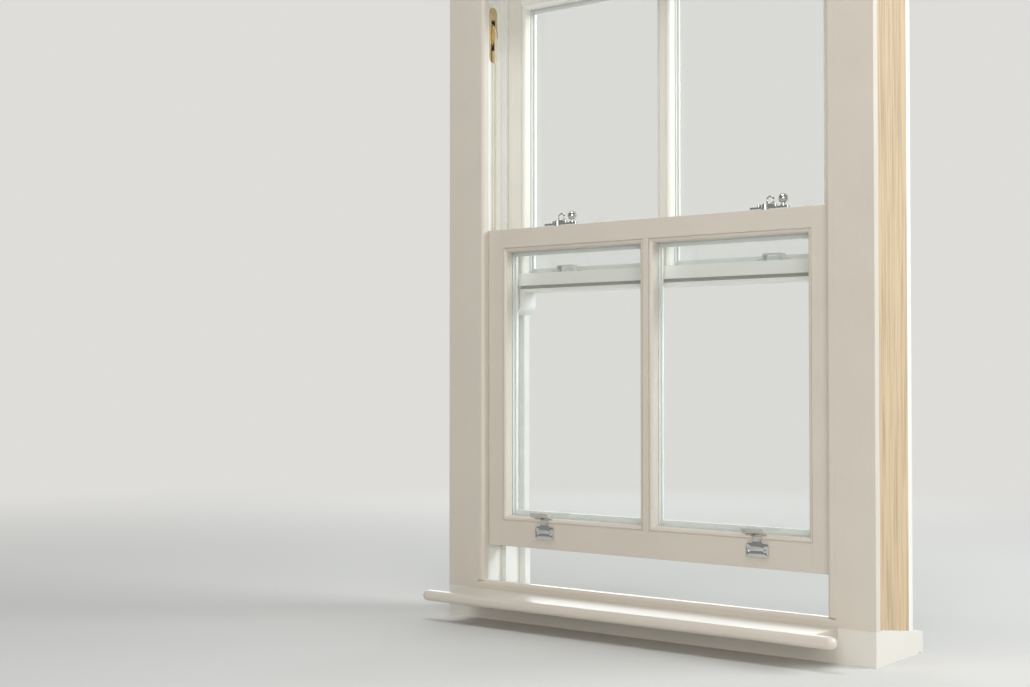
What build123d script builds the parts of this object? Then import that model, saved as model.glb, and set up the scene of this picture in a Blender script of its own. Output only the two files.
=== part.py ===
from build123d import *
import math
import os

os.makedirs("parts", exist_ok=True)

# Box sash window: two double-hung timber sashes in a cased frame, seen from the room at -Y.
# X runs along the width, +Y goes outdoors, +Z is up. The origin is on the underside of the sill,
# in the middle of the width, in the plane of the lower sash's room face.

# Sashes
sash_width = 830.0
sash_height = 682.0
sash_thickness = 55.0
stile_face = 47.0
top_rail_face = 47.0
bottom_rail_face = 55.0
lower_meeting_face = 40.0
upper_meeting_height = 41.0
bar_face = 14.0
raised_height = 92.0

# Moulding on the room side of a sash member, which forms the glazing rebate behind it
moulding_width = 9.0
quirk_width = 1.5
quirk_depth = 2.5
ovolo_top = 1.0
rebate_depth = 22.0

# Joints of the sashes
tenon_thickness = 14.0
tenon_length = 30.0
tenon_margin = 10.0
bar_tenon_length = 14.0

# Meeting rails
nose_height = 27.0
nose_splay = 5.0
nose_gap = 0.5
seal_recess_height = 7.0
seal_recess_depth = 4.5

# Horns of the upper sash
horn_length = 48.0
horn_curve = 22.0

# Sealed glazing units
pane_thickness = 4.0
unit_cavity = 6.0
unit_edge_gap = 2.0
stile_bead_rise = 3.0
top_bead_rise = 8.0
bottom_bead_rise = 12.0
bead_land = 4.0
bead_setback = 1.5

# Running clearances
side_clearance = 1.5
face_clearance = 1.25
seat_gap = 0.3

# Cased frame
pulley_stile_thickness = 22.0
pocket_width = 55.0
back_lining_thickness = 9.0
lining_thickness = 18.0
lining_set_back = 6.0
outer_lining_lap = 16.0
head_lining_height = 70.0
frame_tongue_length = 6.0
frame_tongue_thickness = 10.0
housing_depth = 8.0

# Beads
parting_bead_thickness = 8.0
parting_bead_lap = 13.0
parting_groove_depth = 9.0
staff_bead_lap = 10.0
staff_bead_radius = 8.0
sill_bead_height = 17.0

# Sill
sill_height = 65.0
sill_nose = 45.0
sill_flat = 10.0
sill_slope = 8.0
sill_housing_level = 36.0
throat_radius = 3.5
throat_inset = 14.0
drip_groove = 4.0

# Window board
board_thickness = 22.0
board_depth = 107.0
board_nose_depth = 17.0
board_width = 854.0
board_horn_left = 63.0
board_horn_right = 43.0
board_corner_radius = 12.0
board_nose_radius = 9.5
board_tongue_thickness = 8.0
board_tongue_length = 8.0

# Axle pulleys, cords and weights
pulley_drop = 115.0
pitch_radius = 28.0
cord_diameter = 6.0
cord_inset = 5.0
cord_fit = 0.1
cord_bore_depth = 20.0
cord_groove_depth = 13.0
cord_groove_width = 16.0
cord_groove_length = 165.0
wheel_width = 11.0
wheel_flange = 2.5
axle_diameter = 8.0
axle_fit = 0.05
faceplate_width = 28.0
faceplate_height = 124.0
faceplate_thickness = 3.0
cheek_thickness = 2.5
cheek_gap = 1.0
cheek_rim = 2.5
cheek_reach = 18.0
cheek_corner_radius = 16.0
case_clearance = 0.5
weight_diameter = 50.0
lower_weight_length = 505.0
upper_weight_length = 513.0
weight_neck_diameter = 22.0
weight_neck_length = 24.0
weight_chamfer = 4.0
weight_top_drop = 60.0
sash_travel = 550.0

# Parting slips that part the weights, and the pocket pieces that let them out
slip_thickness = 6.0
slip_width = 44.0
slip_shoulder = 8.0
slip_head_height = 12.0
slip_foot_level = 95.0
slip_fit = 0.3
pocket_foot_level = 150.0
pocket_height = 350.0
pocket_bevel = 10.0
pocket_side = 14.0

# Sash fasteners
fastener_spacing = 500.0
fastener_set_back = 40.0
fastener_plate_length = 56.0
fastener_plate_width = 22.0
fastener_plate_thickness = 2.5
fastener_plate_corner = 5.5
pivot_diameter = 6.0
pivot_fit = 0.05
boss_diameter = 16.0
boss_height = 11.0
cap_diameter = 9.0
cap_height = 3.0
cap_edge_radius = 2.4
arm_length = 33.5
arm_width = 8.0
arm_thickness = 4.0
arm_end_radius = 3.2
arm_lift = 3.0
lever_length = 52.0
bridge_back = 11.0
bridge_front = 26.0
bridge_width = 10.0
stop_reach = 15.0
stop_diameter = 4.5
stop_height = 5.0
ring_radius = 7.4
ring_wire = 3.4
ring_reach = 11.5
ring_sink = 0.8
knob_diameter = 20.0
knob_reach = 39.0
knob_level = 24.5
knob_stem_diameter = 7.0
knob_collar_diameter = 12.0
knob_collar_height = 2.0
keep_length = 64.0
keep_depth = 16.0
keep_thickness = 2.5
keep_arch_width = 48.0
keep_arch_height = 14.5
keep_arch_slope = 3.0
keep_set_back = 4.0

# Hook lifts
lift_spacing = 506.0
lift_plate_width = 48.0
lift_plate_height = 27.0
lift_plate_thickness = 3.0
lift_plate_corner = 4.0
lift_foot_level = 20.0
lift_hook_width = 44.0
lift_waist_width = 19.0
lift_waist_height = 15.0
lift_waist_radius = 5.0
lift_neck_height = 8.0
lift_neck_radius = 13.0
lift_lip_radius = 8.5
screw_diameter = 4.5
lift_screw_spacing = 34.0

# Levels across the thickness of the wall
room_plane = -face_clearance
parting_front = sash_thickness + face_clearance
parting_back = parting_front + parting_bead_thickness
upper_front = parting_back + face_clearance
upper_back = upper_front + sash_thickness
nose_plane = upper_front - face_clearance
outer_plane = upper_back + face_clearance
room_face = room_plane - lining_thickness
outer_face = outer_plane + lining_thickness

# Levels across the width
half_sash = sash_width / 2
stile_line = half_sash - stile_face
half_opening = half_sash + side_clearance
half_pocket = half_opening + pulley_stile_thickness
half_box = half_pocket + pocket_width
half_frame = half_box + back_lining_thickness
half_nose = half_opening - parting_bead_lap - side_clearance

# Levels up the height
closed_level = sill_height + seat_gap
lower_bottom = closed_level + raised_height
lower_top = lower_bottom + sash_height
meeting_level = closed_level + sash_height
upper_bottom = meeting_level - upper_meeting_height
upper_top = upper_bottom + sash_height
head_level = upper_top + seat_gap
head_top = head_level + pulley_stile_thickness
frame_top = head_level + head_lining_height
pulley_level = head_level - pulley_drop
sill_drop = math.tan(math.radians(sill_slope))

# Glazing
unit_thickness = 2 * pane_thickness + unit_cavity
bead_front = rebate_depth + unit_thickness
bead_back = sash_thickness - bead_setback

# Run of the cords
cord_side = half_sash - cord_inset
wheel_centre = cord_side + pitch_radius
weight_side = wheel_centre + pitch_radius
wheel_radius = pitch_radius + wheel_flange
half_cheek = pitch_radius + cord_diameter / 2 + cheek_rim
lower_lane = sash_thickness / 2
upper_lane = upper_front + sash_thickness / 2


def block(x0, x1, y0, y1, z0, z1):
    """A box between two corners."""
    return Pos((x0 + x1) / 2, (y0 + y1) / 2, (z0 + z1) / 2) * Box(x1 - x0, y1 - y0, z1 - z0)


def prism_x(points, x0, x1):
    """A polygon of (y, z) points, extruded along X."""
    face = Face(Wire.make_polygon([(x0, y, z) for y, z in points]))
    return extrude(face, x1 - x0, dir=(1, 0, 0))


def prism_y(points, y0, y1):
    """A polygon of (x, z) points, extruded along Y."""
    face = Face(Wire.make_polygon([(x, y0, z) for x, z in points]))
    return extrude(face, y1 - y0, dir=(0, 1, 0))


def mirrored(shape):
    """The same piece on the other side of the window."""
    return mirror(shape, about=Plane.YZ)


def rod(start, end, diameter):
    """A round bar between two points."""
    axis = Vector(*end) - Vector(*start)
    plane = Plane(origin=start, z_dir=axis)
    return extrude(plane * Circle(diameter / 2), axis.length)


def moulded_section(face_width):
    """Section of a sash member: face, quirk, ovolo, glazing rebate. x is the width, y the depth."""
    quirk = face_width + quirk_width
    sight = face_width + moulding_width
    radius = moulding_width - quirk_width
    front = Polyline((0, 0), (face_width, 0), (face_width, quirk_depth), (quirk, quirk_depth),
                     (quirk, ovolo_top))
    ovolo = CenterArc((quirk, ovolo_top + radius), radius, -90, 90)
    back = Polyline((sight, ovolo_top + radius), (sight, rebate_depth), (face_width, rebate_depth),
                    (face_width, sash_thickness), (0, sash_thickness), (0, 0))
    return make_face(front + ovolo + back)


def stile_stock(front, bottom, top):
    """Moulded stock for a left stile, its room face at the given depth."""
    plane = Plane(origin=(-half_sash, front, bottom), x_dir=(1, 0, 0), z_dir=(0, 0, 1))
    return extrude(plane * moulded_section(stile_face), top - bottom)


def rail_stock(front, level, face_width, up):
    """Moulded stock for a rail. Its outer edge is at the level, its moulding above or below."""
    plane = Plane(origin=(0, front, level), x_dir=(0, 0, up), z_dir=(-up, 0, 0))
    return extrude(plane * moulded_section(face_width), half_sash, both=True)


def bar_stock(front, bottom, top):
    """Moulded stock for the glazing bar, with a rebate on each side."""
    plane = Plane(origin=(0, front, bottom), x_dir=(1, 0, 0), z_dir=(0, 0, 1))
    half = extrude(plane * moulded_section(bar_face / 2), top - bottom)
    return half + mirrored(half)


def rail_region(front, face_level, sight_level, outer_level):
    """Room of a moulded rail between the stiles, mitred at the stiles and at the bar."""
    sight_x = stile_line - moulding_width
    bar_x = bar_face / 2
    half = [(0, outer_level), (stile_line, outer_level), (stile_line, face_level),
            (sight_x, sight_level), (bar_x + moulding_width, sight_level), (bar_x, face_level),
            (0, face_level)]
    right = prism_y(half, front, front + sash_thickness)
    return right + mirrored(right)


def tenon(front, z0, z1):
    """A stub tenon of a rail in the left stile."""
    y0 = front + rebate_depth
    return block(-stile_line - tenon_length, -stile_line, y0, y0 + tenon_thickness, z0, z1)


def bar_tenon(front, z0, z1):
    """A stub tenon of the glazing bar in a rail."""
    y0 = front + rebate_depth
    return block(-bar_face / 2, bar_face / 2, y0, y0 + tenon_thickness, z0, z1)


def cord_way(lane, top):
    """Groove and bore for the cord in the outer edge of a left stile."""
    groove = block(-half_sash, -half_sash + cord_groove_depth, lane - cord_groove_width / 2,
                   lane + cord_groove_width / 2, top - cord_groove_length, top)
    foot = top - cord_groove_length
    bore = rod((-cord_side, lane, foot - cord_bore_depth), (-cord_side, lane, foot),
               cord_diameter + 2 * cord_fit)
    return groove + bore


def sash_foot():
    """What the slope of the sill takes off the foot of the lower sash."""
    deep = sash_thickness + moulding_width
    low = lower_bottom - sill_height
    points = [(-moulding_width, low), (-moulding_width, lower_bottom), (sill_flat, lower_bottom),
              (deep, lower_bottom - (deep - sill_flat) * sill_drop), (deep, low)]
    return prism_x(points, -half_sash, half_sash)


def drip(front, back):
    """Capillary groove along the underside of the bottom rail."""
    middle = (front + back) / 2
    level = lower_bottom - (middle - sill_flat) * sill_drop
    return block(-half_sash, half_sash, middle - drip_groove / 2, middle + drip_groove / 2,
                 level - drip_groove, level + drip_groove)


def stile_region(front, bottom, foot_face, foot_sight, head_sight, head_face, top):
    """Room of a left stile: full height at its face, mitred to the rails at its moulding."""
    edge = -half_sash
    line = -stile_line
    sight = line + moulding_width
    points = [(edge, bottom), (line, bottom), (line, foot_face), (sight, foot_sight),
              (sight, head_sight), (line, head_face), (line, top), (edge, top)]
    return prism_y(points, front, front + sash_thickness)


def bar_region(front, foot_face, foot_sight, head_sight, head_face):
    """Room of the glazing bar, mitred to the moulded rails."""
    bar_x = bar_face / 2
    sight = bar_x + moulding_width
    half = [(0, foot_face), (bar_x, foot_face), (sight, foot_sight), (sight, head_sight),
            (bar_x, head_face), (0, head_face)]
    right = prism_y(half, front, front + sash_thickness)
    return right + mirrored(right)


def lower_sash():
    """Stiles, rails and glazing bar of the lower sash."""
    foot_face = lower_bottom + bottom_rail_face
    head_face = lower_top - lower_meeting_face
    foot_sight = foot_face + moulding_width
    head_sight = head_face - moulding_width
    bottom = lower_bottom - sash_thickness * sill_drop
    foot_tenon = tenon(0, lower_bottom + tenon_margin, foot_face - tenon_margin)
    head_tenon = tenon(0, head_face + tenon_margin, lower_top - tenon_margin)
    stile = stile_stock(0, bottom, lower_top)
    stile &= stile_region(0, bottom, foot_face, foot_sight, head_sight, head_face, lower_top)
    stile -= foot_tenon + head_tenon + sash_foot() + cord_way(lower_lane, lower_top)
    foot_bar = bar_tenon(0, foot_face - bar_tenon_length, foot_face)
    head_bar = bar_tenon(0, head_face, head_face + bar_tenon_length)
    bottom_rail = rail_stock(0, bottom, foot_face - bottom, 1)
    bottom_rail &= rail_region(0, foot_face, foot_sight, bottom)
    bottom_rail += foot_tenon + mirrored(foot_tenon)
    bottom_rail -= sash_foot() + drip(bead_front, sash_thickness) + foot_bar
    meeting_rail = rail_stock(0, lower_top, lower_meeting_face, -1)
    meeting_rail &= rail_region(0, head_face, head_sight, lower_top)
    meeting_rail += lower_nose() + head_tenon + mirrored(head_tenon)
    meeting_rail -= head_bar
    bar = bar_stock(0, foot_face, head_face)
    bar &= bar_region(0, foot_face, foot_sight, head_sight, head_face)
    bar += foot_bar + head_bar
    return {
        "lower_stile_left": stile,
        "lower_stile_right": mirrored(stile),
        "lower_bottom_rail": bottom_rail,
        "lower_meeting_rail": meeting_rail,
        "lower_glazing_bar": bar,
    }


def lower_nose():
    """Splayed nose along the back of the lower meeting rail, in front of the upper one."""
    top_y = nose_plane - nose_gap
    foot_y = top_y - nose_splay
    points = [(sash_thickness, lower_top), (top_y, lower_top), (foot_y, lower_top - nose_height),
              (sash_thickness, lower_top - nose_height)]
    return prism_x(points, -half_nose, half_nose)


def upper_sash():
    """Stiles, rails and glazing bar of the upper sash."""
    foot = meeting_level
    head_face = upper_top - top_rail_face
    head_sight = head_face - moulding_width
    bottom = upper_bottom - horn_length
    foot_tenon = tenon(upper_front, upper_bottom + tenon_margin, foot - tenon_margin)
    head_tenon = tenon(upper_front, head_face + tenon_margin, upper_top - tenon_margin)
    stile = stile_stock(upper_front, bottom, upper_top)
    stile &= stile_region(upper_front, bottom, foot, foot, head_sight, head_face, upper_top)
    stile -= foot_tenon + head_tenon + horn_waste() + cord_way(upper_lane, upper_top)
    foot_bar = bar_tenon(upper_front, foot - moulding_width - bar_tenon_length, foot)
    head_bar = bar_tenon(upper_front, head_face, head_face + bar_tenon_length)
    top_rail = rail_stock(upper_front, upper_top, top_rail_face, -1)
    top_rail &= rail_region(upper_front, head_face, head_sight, upper_top)
    top_rail += head_tenon + mirrored(head_tenon)
    top_rail -= head_bar
    meeting_rail = upper_meeting_rail() + foot_tenon + mirrored(foot_tenon) - foot_bar
    bar = bar_stock(upper_front, foot, head_face)
    bar &= bar_region(upper_front, foot, foot, head_sight, head_face)
    bar += foot_bar + head_bar
    return {
        "upper_stile_left": stile,
        "upper_stile_right": mirrored(stile),
        "upper_top_rail": top_rail,
        "upper_meeting_rail": meeting_rail,
        "upper_glazing_bar": bar,
    }


def horn_waste():
    """What is cut away to shape the horn at the foot of the upper left stile."""
    foot = upper_bottom - horn_length
    curve_top = foot + horn_curve
    square = block(-stile_line - horn_curve, -stile_line, upper_front, upper_back, foot, curve_top)
    centre = (-stile_line - horn_curve, upper_front, curve_top)
    quarter = extrude(Plane(origin=centre, z_dir=(0, 1, 0)) * Circle(horn_curve), sash_thickness)
    return square - quarter


def upper_meeting_rail():
    """Upper meeting rail: flat top for the keeps, splayed nose, seal recess and lip."""
    nose_foot = nose_plane - nose_splay
    nose_level = meeting_level - nose_height
    lip_level = nose_level - seal_recess_height
    glass = upper_front + rebate_depth
    recess = upper_front + seal_recess_depth
    body = [(upper_front, meeting_level), (glass, meeting_level),
            (glass, meeting_level - moulding_width), (upper_back, meeting_level - moulding_width),
            (upper_back, upper_bottom), (upper_front, upper_bottom), (upper_front, lip_level),
            (recess, lip_level), (recess, nose_level), (upper_front, nose_level)]
    nose = [(nose_plane, meeting_level), (upper_front, meeting_level), (upper_front, nose_level),
            (nose_foot, nose_level)]
    return prism_x(body, -stile_line, stile_line) + prism_x(nose, -half_nose, half_nose)


def pane_bounds(foot_face, head_face):
    """Left, right, bottom and top of the right-hand rebate, less the edge gap of the unit."""
    return (bar_face / 2 + unit_edge_gap, stile_line - unit_edge_gap,
            foot_face + unit_edge_gap, head_face - unit_edge_gap)


def glazing_unit(front, foot_face, head_face):
    """Two panes and the spacer frame between them, for the right-hand light."""
    x0, x1, z0, z1 = pane_bounds(foot_face, head_face)
    y0 = front + rebate_depth
    y1 = y0 + pane_thickness
    y2 = y1 + unit_cavity
    room_pane = block(x0, x1, y0, y1, z0, z1)
    outer_pane = block(x0, x1, y2, y2 + pane_thickness, z0, z1)
    edge = moulding_width - unit_edge_gap
    spacer = block(x0, x1, y1, y2, z0, z1) - block(x0 + edge, x1 - edge, y1, y2, z0 + edge, z1 - edge)
    return [room_pane, outer_pane], spacer


def bead_section(rise):
    """Section of an outer glazing bead: x is the height above the rebate, y the depth."""
    top = moulding_width + rise
    return [(0, bead_front), (top, bead_front), (top, bead_front + bead_land),
            (bead_land, bead_back), (0, bead_back)]


def glazing_beads(front, foot_face, head_face):
    """Four outer beads around the right-hand light, the cross beads running through."""
    x0 = bar_face / 2
    x1 = stile_line
    foot = prism_x([(front + y, foot_face + a) for a, y in bead_section(bottom_bead_rise)], x0, x1)
    head = prism_x([(front + y, head_face - a) for a, y in bead_section(top_bead_rise)], x0, x1)
    side_face = Face(Wire.make_polygon([(x0 + a, front + y, foot_face)
                                        for a, y in bead_section(stile_bead_rise)]))
    side = extrude(side_face, head_face - foot_face, dir=(0, 0, 1)) - foot - head
    other = mirror(side, about=Plane(origin=((x0 + x1) / 2, 0, 0), z_dir=(1, 0, 0)))
    return [foot, head, side, other]


def glazing(prefix, front, foot_face, head_face):
    """Glass, spacers and outer beads of both lights of a sash."""
    panes, spacer = glazing_unit(front, foot_face, head_face)
    beads = glazing_beads(front, foot_face, head_face)
    return {
        prefix + "_glass_right": Compound(panes),
        prefix + "_glass_left": Compound([mirrored(pane) for pane in panes]),
        prefix + "_spacers": Compound([spacer, mirrored(spacer)]),
        prefix + "_glazing_beads": Compound(beads + [mirrored(bead) for bead in beads]),
    }


def sill_body():
    """Sill: flat seat, weathered slope and throat, before it is housed for the stiles."""
    nose_y = outer_face + sill_nose
    nose_level = sill_height - (nose_y - sill_flat) * sill_drop
    points = [(room_face, 0), (nose_y, 0), (nose_y, nose_level), (sill_flat, sill_height),
              (room_face, sill_height)]
    throat_y = nose_y - throat_inset
    throat = rod((-half_frame, throat_y, 0), (half_frame, throat_y, 0), 2 * throat_radius)
    return prism_x(points, -half_frame, half_frame) - throat


def board_tongue():
    """Tongue of the window board in the room edge of the sill."""
    middle = sill_height - board_thickness / 2
    return block(-board_width / 2, board_width / 2, room_face, room_face + board_tongue_length,
                 middle - board_tongue_thickness / 2, middle + board_tongue_thickness / 2)


def window_board():
    """Board with a rounded nose and horns that return past the reveals."""
    front = room_face - board_depth
    shoulder = front + board_nose_depth
    z0 = sill_height - board_thickness
    half = board_width / 2
    nose = block(-half - board_horn_left, half + board_horn_right, front, shoulder, z0, sill_height)
    nose = fillet(nose.edges().filter_by(Axis.Z).group_by(Axis.Y)[0], board_corner_radius)
    rim = nose.faces().sort_by(Axis.Z)[-1].edges() + nose.faces().sort_by(Axis.Z)[0].edges()
    rim = [edge for edge in rim if edge.center().Y < shoulder - board_nose_radius / 4]
    nose = fillet(rim, board_nose_radius)
    return nose + block(-half, half, shoulder, room_face, z0, sill_height) + board_tongue()


def pulley_stile():
    """Left pulley stile, tongued to the linings, grooved, slotted for pulleys and pocket."""
    middle = -(half_opening + half_pocket) / 2
    half_tongue = frame_tongue_thickness / 2
    top = head_level + housing_depth
    body = block(-half_pocket, -half_opening, room_plane, outer_plane, sill_housing_level, top)
    tongue = block(middle - half_tongue, middle + half_tongue, room_plane - frame_tongue_length,
                   outer_plane + frame_tongue_length, sill_housing_level, top)
    body += tongue
    body -= parting_bead_left()
    body -= pocket_shape(0)
    for lane in (lower_lane, upper_lane):
        body -= case_mortise(lane)
    return body


def pocket_shape(gap):
    """Bevelled pocket in the lower channel of the left pulley stile, less a gap all round."""
    low = pocket_foot_level
    high = low + pocket_height
    points = [(-half_opening, low + gap), (-half_pocket, low + pocket_bevel + gap),
              (-half_pocket, high + pocket_bevel - gap), (-half_opening, high - gap)]
    return prism_y(points, pocket_side + gap, parting_front - gap)


def parting_bead_left():
    """Bead in a groove of the left pulley stile that keeps the sashes apart."""
    return block(-half_opening - parting_groove_depth, -half_opening + parting_bead_lap,
                 parting_front, parting_back, sill_housing_level, head_level)


def parting_bead_head():
    """The same bead across the head, between the upright ones."""
    reach = half_opening - parting_bead_lap
    return block(-reach, reach, parting_front, parting_back, head_level - parting_bead_lap,
                 head_level + parting_groove_depth)


def inner_lining_left():
    """Room-side board of the left box, on the flat seat of the sill."""
    return block(-half_frame, -half_opening - lining_set_back, room_face, room_plane, sill_height,
                 frame_top)


def inner_lining_head():
    """Room-side board of the head."""
    reach = half_opening + lining_set_back
    return block(-reach, reach, room_face, room_plane, head_level + lining_set_back, frame_top)


def outer_lining_left():
    """Outdoor board of the left box. It laps in front of the upper sash."""
    return block(-half_frame, -half_opening + outer_lining_lap, outer_plane, outer_face, 0, frame_top)


def outer_lining_head():
    """Outdoor board of the head."""
    reach = half_opening - outer_lining_lap
    return block(-reach, reach, outer_plane, outer_face, head_level - outer_lining_lap, frame_top)


def back_lining_left():
    """Thin board that closes the weight box towards the wall."""
    return block(-half_frame, -half_box, room_plane, outer_plane, 0, frame_top)


def head_body():
    """Head board over both boxes, tongued to the head linings."""
    middle = (head_level + head_top) / 2
    half_tongue = frame_tongue_thickness / 2
    reach = half_opening - outer_lining_lap
    body = block(-half_box, half_box, room_plane, outer_plane, head_level, head_top)
    return body + block(-reach, reach, room_plane - frame_tongue_length,
                        outer_plane + frame_tongue_length, middle - half_tongue,
                        middle + half_tongue)


def parting_slip(gap):
    """Slip that hangs from the head between the two weights of the left box, plus a gap."""
    middle = -(half_pocket + half_box) / 2
    half = slip_width / 2
    lane = (parting_front + parting_back) / 2
    y0 = lane - slip_thickness / 2 - gap
    y1 = lane + slip_thickness / 2 + gap
    blade = block(middle - half - gap, middle + half + gap, y0, y1, slip_foot_level, head_top)
    wide = min(half + slip_shoulder, pocket_width / 2)
    return blade + block(middle - wide, middle + wide, y0, y1, head_top, head_top + slip_head_height)


def staff_section():
    """Section of the staff bead: x across its width from the sash, y its depth. One edge is round."""
    width = staff_bead_lap + lining_set_back
    radius = staff_bead_radius
    start = Polyline((0, lining_thickness), (0, radius))
    edge = CenterArc((radius, radius), radius, 180, 90)
    rest = Polyline((radius, 0), (width, 0), (width, lining_thickness), (0, lining_thickness))
    return make_face(start + edge + rest)


def staff_bead_left():
    """Left staff bead. It stands on the sill bead and is mitred at the head."""
    tip = -half_opening + staff_bead_lap
    foot = sill_height + sill_bead_height
    top = head_level + lining_set_back
    width = staff_bead_lap + lining_set_back
    plane = Plane(origin=(tip, room_face, foot), x_dir=(-1, 0, 0), z_dir=(0, 0, -1))
    stock = extrude(plane * staff_section(), -(top - foot))
    room = [(tip - width, foot), (tip, foot), (tip, top - width), (tip - width, top)]
    return stock & prism_y(room, room_face, room_plane)


def staff_bead_head():
    """Head staff bead, mitred to the upright ones."""
    tip = half_opening - staff_bead_lap
    width = staff_bead_lap + lining_set_back
    foot = head_level - staff_bead_lap
    plane = Plane(origin=(0, room_face, foot), x_dir=(0, 0, 1), z_dir=(-1, 0, 0))
    stock = extrude(plane * staff_section(), tip + width, both=True)
    room = [(-tip, foot), (tip, foot), (tip + width, foot + width), (-tip - width, foot + width)]
    return stock & prism_y(room, room_face, room_plane)


def staff_bead_sill():
    """Sill staff bead on the seat of the sill, between the inner linings."""
    reach = half_opening + lining_set_back
    bead = block(-reach, reach, room_face, room_plane, sill_height, sill_height + sill_bead_height)
    top_edge = bead.edges().filter_by(Axis.X).group_by(Axis.Y)[0].sort_by(Axis.Z)[-1]
    return fillet(top_edge, staff_bead_radius)


def case_mortise(lane):
    """Room in the left pulley stile for the case of an axle pulley."""
    half_cheeks = wheel_width / 2 + cheek_gap + cheek_thickness + case_clearance
    half_height = half_cheek + case_clearance
    hole = block(-half_pocket, -half_opening, lane - half_cheeks, lane + half_cheeks,
                 pulley_level - half_height, pulley_level + half_height)
    return hole + faceplate(lane)


def faceplate(lane):
    """Round-ended plate of a pulley case, let in flush with the left pulley stile."""
    plane = Plane(origin=(-half_opening, lane, pulley_level), x_dir=(0, 0, 1), z_dir=(-1, 0, 0))
    return extrude(plane * SlotOverall(faceplate_height, faceplate_width), faceplate_thickness)


def pulley_case(lane):
    """Faceplate with a wheel slot, two cheeks and the axle pin."""
    inner = wheel_width / 2 + cheek_gap
    outer = inner + cheek_thickness
    back = -half_opening - faceplate_thickness
    reach = -wheel_centre - cheek_reach
    low = pulley_level - half_cheek
    high = pulley_level + half_cheek
    plate = faceplate(lane)
    slot = block(back, -half_opening, lane - inner, lane + inner, low, high)
    case = plate - slot
    for side in (-1, 1):
        y0, y1 = sorted((lane + side * inner, lane + side * outer))
        cheek = block(reach, back, y0, y1, low, high)
        cheek = fillet(cheek.edges().filter_by(Axis.Y).group_by(Axis.X)[0], cheek_corner_radius)
        case += cheek
    return case + rod((-wheel_centre, lane - outer, pulley_level),
                      (-wheel_centre, lane + outer, pulley_level), axle_diameter)


def pulley_wheel(lane):
    """Grooved wheel on the left side, bored for its axle pin."""
    half = wheel_width / 2
    bore = axle_diameter / 2 + axle_fit
    groove = cord_diameter / 2 + cord_fit
    plane = Plane(origin=(-wheel_centre, lane, pulley_level), x_dir=(1, 0, 0), z_dir=(0, 1, 0))
    blank = extrude(plane * Circle(wheel_radius), half, both=True)
    blank -= extrude(plane * Circle(bore), wheel_width, both=True)
    rim = extrude(plane * (Circle(wheel_radius) - Circle(pitch_radius)), groove, both=True)
    return blank - plane * Torus(pitch_radius, groove) - rim


def sash_cord(lane, top, weight_top):
    """Cord from the stile of the sash over the wheel to the weight, on the left side."""
    foot = top - cord_groove_length - cord_bore_depth
    end = weight_top - cord_bore_depth
    sash_run = Line((-cord_side, lane, foot), (-cord_side, lane, pulley_level))
    over = ThreePointArc((-cord_side, lane, pulley_level),
                         (-wheel_centre, lane, pulley_level + pitch_radius),
                         (-weight_side, lane, pulley_level))
    weight_run = Line((-weight_side, lane, pulley_level), (-weight_side, lane, end))
    section = Plane(origin=(-cord_side, lane, foot), z_dir=(0, 0, 1)) * Circle(cord_diameter / 2)
    return sweep(section, path=sash_run + over + weight_run)


def sash_weight(lane, weight_top, length):
    """Cast weight on the left side, with a bored neck for the cord."""
    shoulder = weight_top - weight_neck_length
    foot = shoulder - length
    body = rod((-weight_side, lane, foot), (-weight_side, lane, shoulder), weight_diameter)
    body = chamfer(body.edges().filter_by(GeomType.CIRCLE), weight_chamfer)
    body += rod((-weight_side, lane, shoulder), (-weight_side, lane, weight_top),
                weight_neck_diameter)
    bore = rod((-weight_side, lane, weight_top - cord_bore_depth), (-weight_side, lane, weight_top),
               cord_diameter + 2 * cord_fit)
    return body - bore


def weight_tops():
    """Levels of the two weights' tops with the sashes as drawn."""
    highest = pulley_level - weight_top_drop
    return highest - raised_height, highest - sash_travel


def balance(name, lane, top, weight_top, weight_length):
    """Wheel, cord and weight of one sash, on both sides."""
    left = {
        "wheel": pulley_wheel(lane),
        "cord": sash_cord(lane, top, weight_top),
        "weight": sash_weight(lane, weight_top, weight_length),
    }
    pieces = {}
    for kind, shape in left.items():
        pieces[f"{name}_{kind}_left"] = shape
        pieces[f"{name}_{kind}_right"] = mirrored(shape)
    return pieces


def fastener_base():
    """Plate with the pivot pin of the fastener, centred on its pivot, on the rail's top."""
    plate = block(-fastener_plate_length / 2, fastener_plate_length / 2, -fastener_plate_width / 2,
                  fastener_plate_width / 2, 0, fastener_plate_thickness)
    plate = fillet(plate.edges().filter_by(Axis.Z), fastener_plate_corner)
    top = fastener_plate_thickness + seat_gap + boss_height + seat_gap
    pin = rod((0, 0, fastener_plate_thickness), (0, 0, top), pivot_diameter)
    cap = rod((0, 0, top), (0, 0, top + cap_height), cap_diameter)
    cap = fillet(cap.edges().group_by(Axis.Z)[-1], cap_edge_radius)
    return plate + pin + cap


def fastener_arm():
    """Pivoting arm on its boss: locking nose towards -X, lever with ring and knob towards +X."""
    level = fastener_plate_thickness + seat_gap
    top = level + boss_height
    bar_level = level + arm_lift
    bar_top = bar_level + arm_thickness
    boss = rod((0, 0, level), (0, 0, top), boss_diameter)
    bar = block(-arm_length, lever_length, -arm_width / 2, arm_width / 2, bar_level, bar_top)
    bar = fillet(bar.edges().filter_by(Axis.Z), arm_end_radius)
    bridge = block(-bridge_back, bridge_front, -bridge_width / 2, bridge_width / 2, bar_top, top)
    bridge = fillet(bridge.edges().filter_by(Axis.Z), arm_end_radius)
    stop = rod((-stop_reach, 0, bar_top), (-stop_reach, 0, bar_top + stop_height), stop_diameter)
    bore = rod((0, 0, level), (0, 0, top), pivot_diameter + 2 * pivot_fit)
    return boss + bar + bridge + stop + arm_ring(top) + arm_knob(bar_top) - bore


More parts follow.
